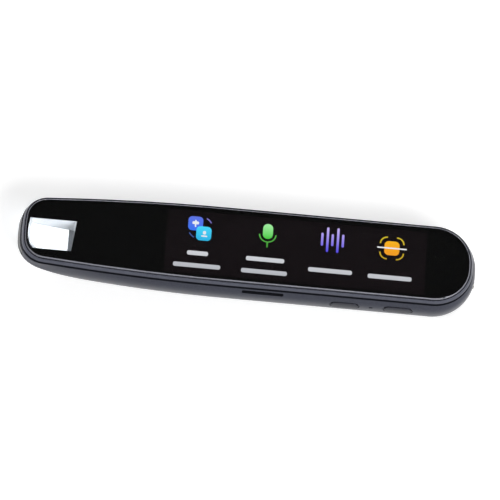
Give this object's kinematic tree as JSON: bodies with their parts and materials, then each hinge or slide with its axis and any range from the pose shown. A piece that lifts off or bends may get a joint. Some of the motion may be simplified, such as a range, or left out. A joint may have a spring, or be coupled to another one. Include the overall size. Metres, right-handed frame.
{
  "type": "handheld translator",
  "caption": "Slim scanning translator pen with a glass touch screen, sight window over a clear press-in nose, side buttons, USB-C port and a metal speaker plate on its back.",
  "frame": {"origin": "middle of the body's base, where its flat back rests", "axes": "+X along the pen from the scanning tip to the tail, -Y towards the side buttons, +Z out of the glass"},
  "size_m": [0.146, 0.0295, 0.014],
  "materials": {
    "cover_glass": "polished",
    "black_print": "matte",
    "adhesive": "matte",
    "display": "gloss",
    "backlight": "satin",
    "frame_gloss": "gloss",
    "sheet_steel": "satin",
    "shell_satin": "satin",
    "brushed_aluminium": "brushed",
    "mesh_fabric": "matte",
    "black_rubber": "matte",
    "black_plastic": "matte",
    "circuit_board": "satin",
    "chip_black": "matte",
    "battery_wrap": "satin",
    "ribbon": "satin",
    "white_plastic": "satin",
    "clear_plastic": "polished",
    "light_emitter": "gloss",
    "lens": "polished"
  },
  "bodies": {
    "body": {"cover_glass": "cover_glass", "glass_print": "black_print", "glass_glue": "adhesive", "rear_plate_glue": "adhesive", "battery_tape": "adhesive", "display_cell": "display", "display_backlight": "backlight", "middle_frame": "frame_gloss", "chassis_plate": "sheet_steel", "shield_can": "sheet_steel", "card_socket": "sheet_steel", "usb_port_shell": "sheet_steel", "key_bracket": "sheet_steel", "board_screws": "sheet_steel", "rear_shell": "shell_satin", "rear_plate": "brushed_aluminium", "speaker_mesh": "mesh_fabric", "speaker_gasket": "black_rubber", "microphone_boot": "black_rubber", "speaker_driver": "black_plastic", "speaker_box": "black_plastic", "usb_port_tongue": "black_plastic", "battery_connector": "black_plastic", "key_switches": "black_plastic", "nose_switch": "black_plastic", "camera_holder": "black_plastic", "sight_tunnel": "black_plastic", "main_board": "circuit_board", "key_board": "circuit_board", "light_board": "circuit_board", "camera_board": "circuit_board", "battery_board": "circuit_board", "processor_chip": "chip_black", "memory_chip": "chip_black", "microphone": "chip_black", "battery_cell": "battery_wrap", "display_flex": "ribbon", "camera_flex": "ribbon", "wifi_antenna": "ribbon", "light_emitters": "light_emitter", "camera_lens": "lens"},
    "power_button": {"power_button": "shell_satin", "power_button_stem": "white_plastic"},
    "function_button": {"function_button": "shell_satin", "function_button_stem": "white_plastic"},
    "nose": {"nose_cover": "clear_plastic", "nose_switch_stem": "white_plastic"}
  },
  "joints": [
    {"name": "power_button_press", "type": "slide", "parent": "body", "child": "power_button", "axis": [0, 1, 0], "range_m": [0, 0.0003], "stiffness_N_per_m": 300, "springref_m": -0.002},
    {"name": "function_button_press", "type": "slide", "parent": "body", "child": "function_button", "axis": [0, 1, 0], "range_m": [0, 0.0003], "stiffness_N_per_m": 300, "springref_m": -0.002},
    {"name": "nose_press", "type": "slide", "parent": "body", "child": "nose", "axis": [1, 0, 0], "range_m": [0, 0.0004], "stiffness_N_per_m": 400, "springref_m": -0.003}
  ]
}
